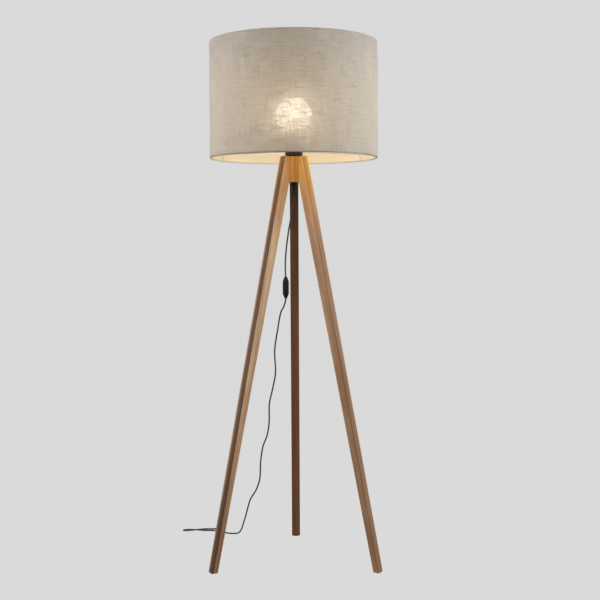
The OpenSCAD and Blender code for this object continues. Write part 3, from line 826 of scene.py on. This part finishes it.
def weave(paint, place):
    """Threads of a slubby plain weave, from coordinates in metres: its relief, how thick its threads
    are, where its slubs and thick threads are, and the gaps between its threads."""
    wobble = paint.vector("SUBTRACT", paint.noise(place, 260, 2, 0.5, output=1), (0.5, 0.5, 0.5))
    place = paint.vector("ADD", place, paint.scaled(wobble, THREAD_DRIFT))
    u = paint.maths("DIVIDE", paint.split(place, 0), WEAVE)
    v = paint.maths("DIVIDE", paint.split(place, 1), WEAVE)
    warp = paint.maths("ABSOLUTE", paint.maths("SINE", paint.maths("MULTIPLY", u, math.pi)))
    weft = paint.maths("ABSOLUTE", paint.maths("SINE", paint.maths("MULTIPLY", v, math.pi)))
    turn = paint.maths("ADD", paint.maths("FLOOR", u), paint.maths("FLOOR", v))
    over = paint.maths("PINGPONG", turn, 1.0)
    relief = paint.between(over, paint.maths("MULTIPLY", warp, 0.85), weft)
    slubs = flecks(paint, place, (20, 400, 1), 4, 0.65)
    threads = flecks(paint, place, (420, 11, 1), 4, 0.65)
    clouds = flecks(paint, place, (35, 90, 1), 3, 0.6, 0.35)
    bunches = flecks(paint, place, (130, 310, 1), 2, 0.6, 0.35)
    thick = paint.between(0.42, slubs, threads)
    thick = paint.between(0.18, thick, clouds)
    thick = paint.between(0.25, thick, bunches)
    beside_warp = paint.maths("SUBTRACT", 1.0, warp)
    beside_weft = paint.maths("SUBTRACT", 1.0, weft)
    gap = paint.maths("MULTIPLY", beside_warp, beside_weft)
    return relief, thick, slubs, threads, gap


def linen_tone(paint, place, relief, density, slubs, threads):
    """The linen's own colour, with its dark flecks and its paler turn-in, and painted shade in the
    weave's hollows and along its folded edge.
    """
    tone = paint.mix(paint.remap(density, 0.18, 0.82), LINEN_LIGHT, LINEN_DARK)
    tone = paint.mix(paint.remap(slubs, 0.75, 1.0, 0, 0.5), tone, rgb(0.26, 0.225, 0.185))
    tone = paint.mix(paint.remap(threads, 0.8, 1.0, 0, 0.35), tone, rgb(0.29, 0.255, 0.215))
    specks = paint.noise(paint.stretch(place, (210, 330, 1)), 1.0, 2, 0.5)
    tone = paint.mix(paint.remap(specks, 0.67, 0.73, 0, 0.6), tone, rgb(0.14, 0.1, 0.07))
    # Painted shade in the weave's hollows between its threads.
    tone = paint.mix(paint.remap(relief, 0, 0.45, 0.3, 0), tone, rgb(0.2, 0.16, 0.12))
    along = paint.split(place, 1)
    # Painted shade along the outside of the folded lower edge.
    fold = paint.remap(along, FOLD_END - 0.003, FOLD_END, 0.35, 0)
    fold = paint.maths("MULTIPLY", fold, paint.remap(along, FOLD_START, FOLD_START + 0.002))
    tone = paint.mix(fold, tone, rgb(0.16, 0.13, 0.1))
    return paint.mix(paint.remap(along, 0.0035, FOLD_START, 0.6, 0), tone, rgb(0.85, 0.76, 0.62))


def linen_cloth():
    """Grey-beige slub linen. Light comes through it softly, and straight through between its threads."""
    paint = Paint("slub_linen")
    place = paint.uv()
    relief, thick, slubs, threads, gap = weave(paint, place)
    fine = flecks(paint, place, (240, 560, 1), 3, 0.65)
    density = paint.between(0.25, thick, fine)
    tone = linen_tone(paint, place, relief, density, slubs, threads)
    normal = paint.bump(paint.maths("ADD", relief, thick), 0.0003, 0.7)
    front = paint.principled(tone, 0.92, normal, Sheen_Weight=0.1, Specular_IOR_Level=0.2)
    back = paint.translucent(paint.mix(0.6, tone, rgb(0.85, 0.77, 0.6)), normal)
    body = paint.either(0.31, front, back)
    clear = paint.add("BsdfTransparent", {"Color": rgb(1, 1, 1)})
    thin = paint.remap(density, 0.29, 0.69, 0.265, 0.018)
    hole = paint.remap(gap, 0.3, 0.7, 0, 0.24)
    see = paint.maths("ADD", thin, hole, clamp=True)
    return paint.done(paint.either(see, body, clear))


def lining_film():
    """Cream styrene film with a faint ripple. From outside, part of it blurs what is behind it, as a
    slightly cloudy film does; its inside only glows."""
    paint = Paint("lining_film")
    place = paint.uv()
    ripple = paint.noise(paint.stretch(place, (22, 60, 1)), 1.0, 3, 0.5)
    fine = paint.noise(paint.stretch(place, (500, 900, 1)), 1.0, 2, 0.5)
    base = paint.mix(ripple, rgb(0.93, 0.85, 0.72), rgb(0.87, 0.78, 0.63))
    normal = paint.bump(paint.maths("ADD", ripple, paint.maths("MULTIPLY", fine, 0.2)), 0.0003, 0.4)
    front = paint.principled(base, 0.6, normal, Specular_IOR_Level=0.3)
    back = paint.translucent(rgb(0.95, 0.84, 0.66), normal)
    body = paint.either(0.25, front, back)
    tint = rgb(1, 0.98, 0.93)
    near = paint.add("BsdfRefraction", {"Color": tint, "Roughness": 0.22, "IOR": 1.03})
    wide = paint.add("BsdfRefraction", {"Color": tint, "Roughness": 1.0, "IOR": 1.25})
    haze = paint.either(0.3, near, wide)
    haze = paint.either(paint.add("NewGeometry", output="Backfacing"), haze, back)
    return paint.done(paint.either(0.42, body, haze))


DOWEL_TONES = (rgb(0.66, 0.46, 0.27), rgb(0.6, 0.4, 0.22), rgb(0.4, 0.25, 0.13))


def base_finishes():
    """The materials of the slots on the base and on the holder."""
    bronze = rgb(0.03, 0.013, 0.001)
    bronze_worn = rgb(0.07, 0.035, 0.01)
    return {
        "dowel_wood": wood("dowel_wood", (0, 0, 0), (0, 0, 0), (0.05, 0.03), DOWEL_TONES),
        "felt": felt(),
        "zinc_steel": metal("zinc_steel", rgb(0.58, 0.58, 0.56), 0.32),
        "grip_nylon": plastic("grip_nylon", rgb(0.015, 0.015, 0.015), 0.38),
        "soft_pvc": plastic("soft_pvc", rgb(0.018, 0.018, 0.018), 0.5),
        "bronzed_steel": painted("bronzed_steel", bronze, bronze_worn, 0.5, 0.05),
        "holder_brown": plastic("holder_brown", rgb(0.03, 0.015, 0.005), 0.4, coat=0.05),
        "holder_phenolic": plastic("holder_phenolic", rgb(0.02, 0.018, 0.016), 0.24, coat=0.4),
        "porcelain": ceramic("porcelain", rgb(0.78, 0.75, 0.68)),
        "brass": metal("brass", rgb(0.72, 0.5, 0.2), 0.28),
    }


def bulb_finishes():
    """The materials of the slots on the bulb."""
    return {
        "bulb_metal": metal("bulb_metal", rgb(0.66, 0.65, 0.62), 0.25),
        "bulb_insulation": plastic("bulb_insulation", rgb(0.01, 0.01, 0.012), 0.16, coat=0.5),
        "bulb_housing": plastic("bulb_housing", rgb(0.8, 0.78, 0.73), 0.36),
        "circuit_board": circuit_board(),
        "led_plate": metal("led_plate", rgb(0.72, 0.73, 0.74), 0.35),
        "led_phosphor": phosphor(),
        "opal_glass": opal_glass(),
    }


def shade_finishes():
    """The materials of the slots on the shade."""
    return {
        "white_enamel": painted("white_enamel", rgb(0.78, 0.74, 0.66), rgb(0.45, 0.42, 0.36)),
        "liner_film": lining_film(),
        "linen": linen_cloth(),
    }


def cord_finishes():
    """The materials of the slots on the cord, its switch and its plug."""
    return {
        "cord_sheath": cord_sheath(),
        "core_insulation": plastic("core_insulation", rgb(0.2, 0.12, 0.07), 0.4),
        "switch_plastic": plastic("switch_plastic", rgb(0.006, 0.006, 0.006), 0.5, 2200, 0.0001),
        "rocker_plastic": plastic("rocker_plastic", rgb(0.008, 0.008, 0.008), 0.4, coat=0.1),
        "screw_steel": metal("screw_steel", rgb(0.38, 0.38, 0.37), 0.34),
        "tie_nylon": woven_strap(),
        "plug_plastic": plastic("plug_plastic", rgb(0.016, 0.016, 0.016), 0.45, 2000, 0.00012),
        "bridge_plastic": plastic("bridge_plastic", rgb(0.66, 0.63, 0.56), 0.4),
    }


DARK_WOOD = rgb(0.125, 0.056, 0.026)
# The head's tones are more orange than the legs': its own timber, warmed further by painted light from
# the bulb.
HEAD_TONES = (rgb(0.6, 0.33, 0.093), rgb(0.48, 0.235, 0.064), rgb(0.22, 0.085, 0.02))
PALE_TONES = (rgb(0.95, 0.66, 0.37), rgb(0.68, 0.41, 0.21), DARK_WOOD)
BROWN_TONES = (rgb(0.66, 0.385, 0.19), rgb(0.43, 0.22, 0.1), DARK_WOOD)
LEG_END = 0.004
FACE_DEPTH = 0.001


def leg_axes(name):
    """The middle of the leg's outer face and the Euler angles of its axes: z along it, x outwards."""
    points = np.array([tuple(v.co) for v in nodes[name].data.vertices])
    low, high = points[:, 2].min(), points[:, 2].max()
    turn = math.radians(LEG_TURNS[name])
    outward = Vector((math.cos(turn), math.sin(turn), 0))
    reach = points @ np.array(outward)

    def outermost(end):
        return points[end & (reach > reach[end].max() - FACE_DEPTH)].mean(0)

    foot = outermost(points[:, 2] < low + LEG_END)
    top = outermost(points[:, 2] > high - LEG_END)
    along = (Vector(top) - Vector(foot)).normalized()
    outward = (outward - outward.dot(along) * along).normalized()
    aside = along.cross(outward)
    axes = Matrix((outward, aside, along)).transposed()
    return tuple((foot + top) / 2), tuple(axes.to_euler())


def leg_wood(name, pith, tones, **more):
    """Timber whose grain runs along the leg."""
    origin, lean = leg_axes(name)
    return wood(name + "_wood", origin, lean, pith, tones, **more)


def left_leg_wood():
    """The pale plank, with painted shade along one corner of its outer face, painted shade darkening its
    foot and painted warm light at its top.
    """
    # Painted shade darkens the foot, and painted warm light yellows the top.
    painted_shade_foot = (-0.2, -0.5, rgb(0.62, 0.54, 0.48))
    painted_glow_top = (0.2, 0.5, rgb(0.7, 0.6, 0.42))
    more = {"streaks": 0.65, "outer_shade": 1.0, "painted_light_shade_bands": [painted_shade_foot, painted_glow_top]}
    return leg_wood("leg_front_left", (-0.06, 0.035), PALE_TONES, **more)


def right_leg_wood():
    """The brown plank, with a little painted shade along one corner of its outer face and painted warm
    light at its top.
    """
    # Painted warm light makes the top lighter and yellower.
    painted_glow_top = (0.36, 0.5, rgb(1.24, 1.3, 0.66))
    more = {"outer_shade": 0.5, "corner": -1, "painted_light_shade_bands": [painted_glow_top]}
    return leg_wood("leg_front_right", (-0.08, -0.03), BROWN_TONES, **more)


def rear_leg_wood():
    """The brown plank, with painted shade on its inner side that grows darker upwards."""
    # Painted shade: the inner side darkens upwards, most of all at the top.
    painted_shade_upwards = (-0.15, 0.5, rgb(0.38, 0.33, 0.25))
    painted_shade_top = (0.33, 0.48, rgb(0.46, 0.38, 0.18))
    more = {"inner": rgb(0.46, 0.33, 0.22), "painted_light_shade_bands": [painted_shade_upwards, painted_shade_top]}
    return leg_wood("leg_rear", (-0.05, 0.05), BROWN_TONES, **more)


def dress(piece, material):
    piece.data.materials.clear()
    piece.data.materials.append(material)


finish = {**base_finishes(), **bulb_finishes(), **shade_finishes(), **cord_finishes()}
woods = {
    "head_block": wood("head_wood", tuple(axis), (0, 0, 0), (0.045, 0.07), HEAD_TONES, 0.005, 0.4),
    "leg_front_left": left_leg_wood(),
    "leg_front_right": right_leg_wood(),
    "leg_rear": rear_leg_wood(),
}
for name, node in nodes.items():
    for place in node.material_slots:
        place.material = woods.get(name) or finish[place.material.name]
dress(linen, finish["linen"])
dress(lining, finish["liner_film"])
dress(globe, finish["opal_glass"])
dress(tie, finish["tie_nylon"])
dress(cord, finish["cord_sheath"])


# ---- Rounded edges on the wood ----

EDGE_R = 0.0008
EDGE_STEPS = 3
SHARP = math.radians(40)


def round_edges(name):
    """Rounds the sharp edges of a CAD node with modifiers, and leaves its mesh as it is."""
    node = nodes[name]
    weld = node.modifiers.new("weld", "WELD")
    weld.merge_threshold = 0.00001
    bevel = node.modifiers.new("edges", "BEVEL")
    bevel.width = EDGE_R
    bevel.segments = EDGE_STEPS
    bevel.limit_method = "ANGLE"
    bevel.angle_limit = SHARP
    bevel.harden_normals = False
    node.modifiers.new("normals", "WEIGHTED_NORMAL").keep_sharp = True


for name in woods:
    round_edges(name)


# ---- Floor and lights ----

FLOOR_SIZE = 60
FLOOR_SHOWN = 0.692
FLOOR_GLOW = 0.3
FLOOR_ALBEDO = 0.012
BACKDROP_SHOWN = 0.70
WORLD_GLOW = 0.4
BULB_POWER = 2.4
SPILL_POWER = 0.4


def floor_material():
    """A surface that shows an even tone to the camera and gives the lamp only a little light."""
    paint = Paint("floor")
    seen = paint.add("LightPath", output="Is Camera Ray")
    light = paint.between(seen, FLOOR_GLOW, FLOOR_SHOWN)
    emit = paint.add("Emission", {"Color": rgb(1, 1, 1), "Strength": light})
    matt = paint.add("BsdfDiffuse", {"Color": rgb(FLOOR_ALBEDO, FLOOR_ALBEDO, FLOOR_ALBEDO)})
    return paint.done(paint.add("AddShader", {0: emit, 1: matt}))


def place_light(name, data, place):
    """Puts a light in the scene at a place."""
    light = bpy.data.objects.new(name, data)
    light.location = place
    bpy.context.scene.collection.objects.link(light)
    return light


def make_bulb_light():
    """The lamp's own light, from inside its globe, which lets it out."""
    globe.visible_shadow = False
    data = bpy.data.lights.new("bulb_light", "POINT")
    data.energy = BULB_POWER
    data.color = (1, 0.84, 0.6)
    data.shadow_soft_size = globe_r * 0.9
    place_light("bulb_light", data, (axis.x, axis.y, globe_z))


def make_spill_light():
    """The light that the shade's inside throws down through its open bottom."""
    data = bpy.data.lights.new("spill_light", "AREA")
    data.shape = "DISK"
    data.size = 1.8 * shade_r
    data.energy = SPILL_POWER
    data.color = (1, 0.72, 0.24)
    light = place_light("spill_light", data, (axis.x, axis.y, shade_low.z + 0.004))
    light.visible_camera = False


def make_floor():
    """The plain floor, as a wide square."""
    mesh = bpy.data.meshes.new("floor")
    sides = ((-1, -1), (1, -1), (1, 1), (-1, 1))
    corners = [(x * FLOOR_SIZE, y * FLOOR_SIZE, 0) for x, y in sides]
    mesh.from_pydata(corners, [], [(0, 1, 2, 3)])
    floor = bpy.data.objects.new("floor", mesh)
    bpy.context.scene.collection.objects.link(floor)
    dress(floor, floor_material())


def make_world():
    """The backdrop, which shows the camera an even tone and gives the lamp a warm fill."""
    world = bpy.data.worlds.new("studio")
    bpy.context.scene.world = world
    world.use_nodes = True
    tree = world.node_tree
    tree.nodes.clear()
    path = tree.nodes.new("ShaderNodeLightPath")
    strength = tree.nodes.new("ShaderNodeMapRange")
    strength.inputs["To Min"].default_value = WORLD_GLOW
    strength.inputs["To Max"].default_value = BACKDROP_SHOWN
    tone = tree.nodes.new("ShaderNodeMix")
    tone.data_type = "RGBA"
    tone.inputs[6].default_value = rgb(1, 0.9, 0.79)
    tone.inputs[7].default_value = rgb(1, 1, 1)
    back = tree.nodes.new("ShaderNodeBackground")
    out = tree.nodes.new("ShaderNodeOutputWorld")
    tree.links.new(path.outputs["Is Camera Ray"], strength.inputs["Value"])
    tree.links.new(path.outputs["Is Camera Ray"], tone.inputs[0])
    tree.links.new(tone.outputs[2], back.inputs["Color"])
    tree.links.new(strength.outputs["Result"], back.inputs["Strength"])
    tree.links.new(back.outputs[0], out.inputs[0])


def soft_light(name, place, target, size, power, colour=(1, 1, 1)):
    """A large area light that the camera doesn't see, straight or through the shade's lining."""
    data = bpy.data.lights.new(name, "AREA")
    data.shape = "RECTANGLE"
    data.size, data.size_y = size
    data.energy = power
    data.color = colour
    light = place_light(name, data, place)
    light.rotation_euler = (Vector(target) - Vector(place)).to_track_quat("-Z", "Y").to_euler()
    light.visible_camera = False
    light.visible_transmission = False


def make_studio_lights():
    """Cool light from both sides and neutral light from above."""
    side_size = (1.2, 1.4)
    aim = (0, 0, 1.0)
    soft_light("left", (-1.65, -0.45, 1.45), aim, side_size, 26, (0.76, 0.86, 1))
    soft_light("right", (1.65, -0.45, 1.5), aim, side_size, 33, (0.76, 0.87, 1))
    soft_light("top", (0, -0.3, 3.2), (0, 0, 0.8), (2.4, 2.4), 16)


make_floor()
make_world()
make_studio_lights()
make_bulb_light()
make_spill_light()
bpy.context.scene.view_settings.view_transform = "Standard"

# ---- The pieces on the cord: the switch's and the plug's ----

SWITCH_PARTS = ["front", "back", "rocker", "screws", "contacts", "wires"]
PLUG_PARTS = ["relief", "body", "bridge", "blades"]
on_cord = [nodes["switch_" + part] for part in SWITCH_PARTS]
on_cord += [nodes["plug_" + part] for part in PLUG_PARTS]
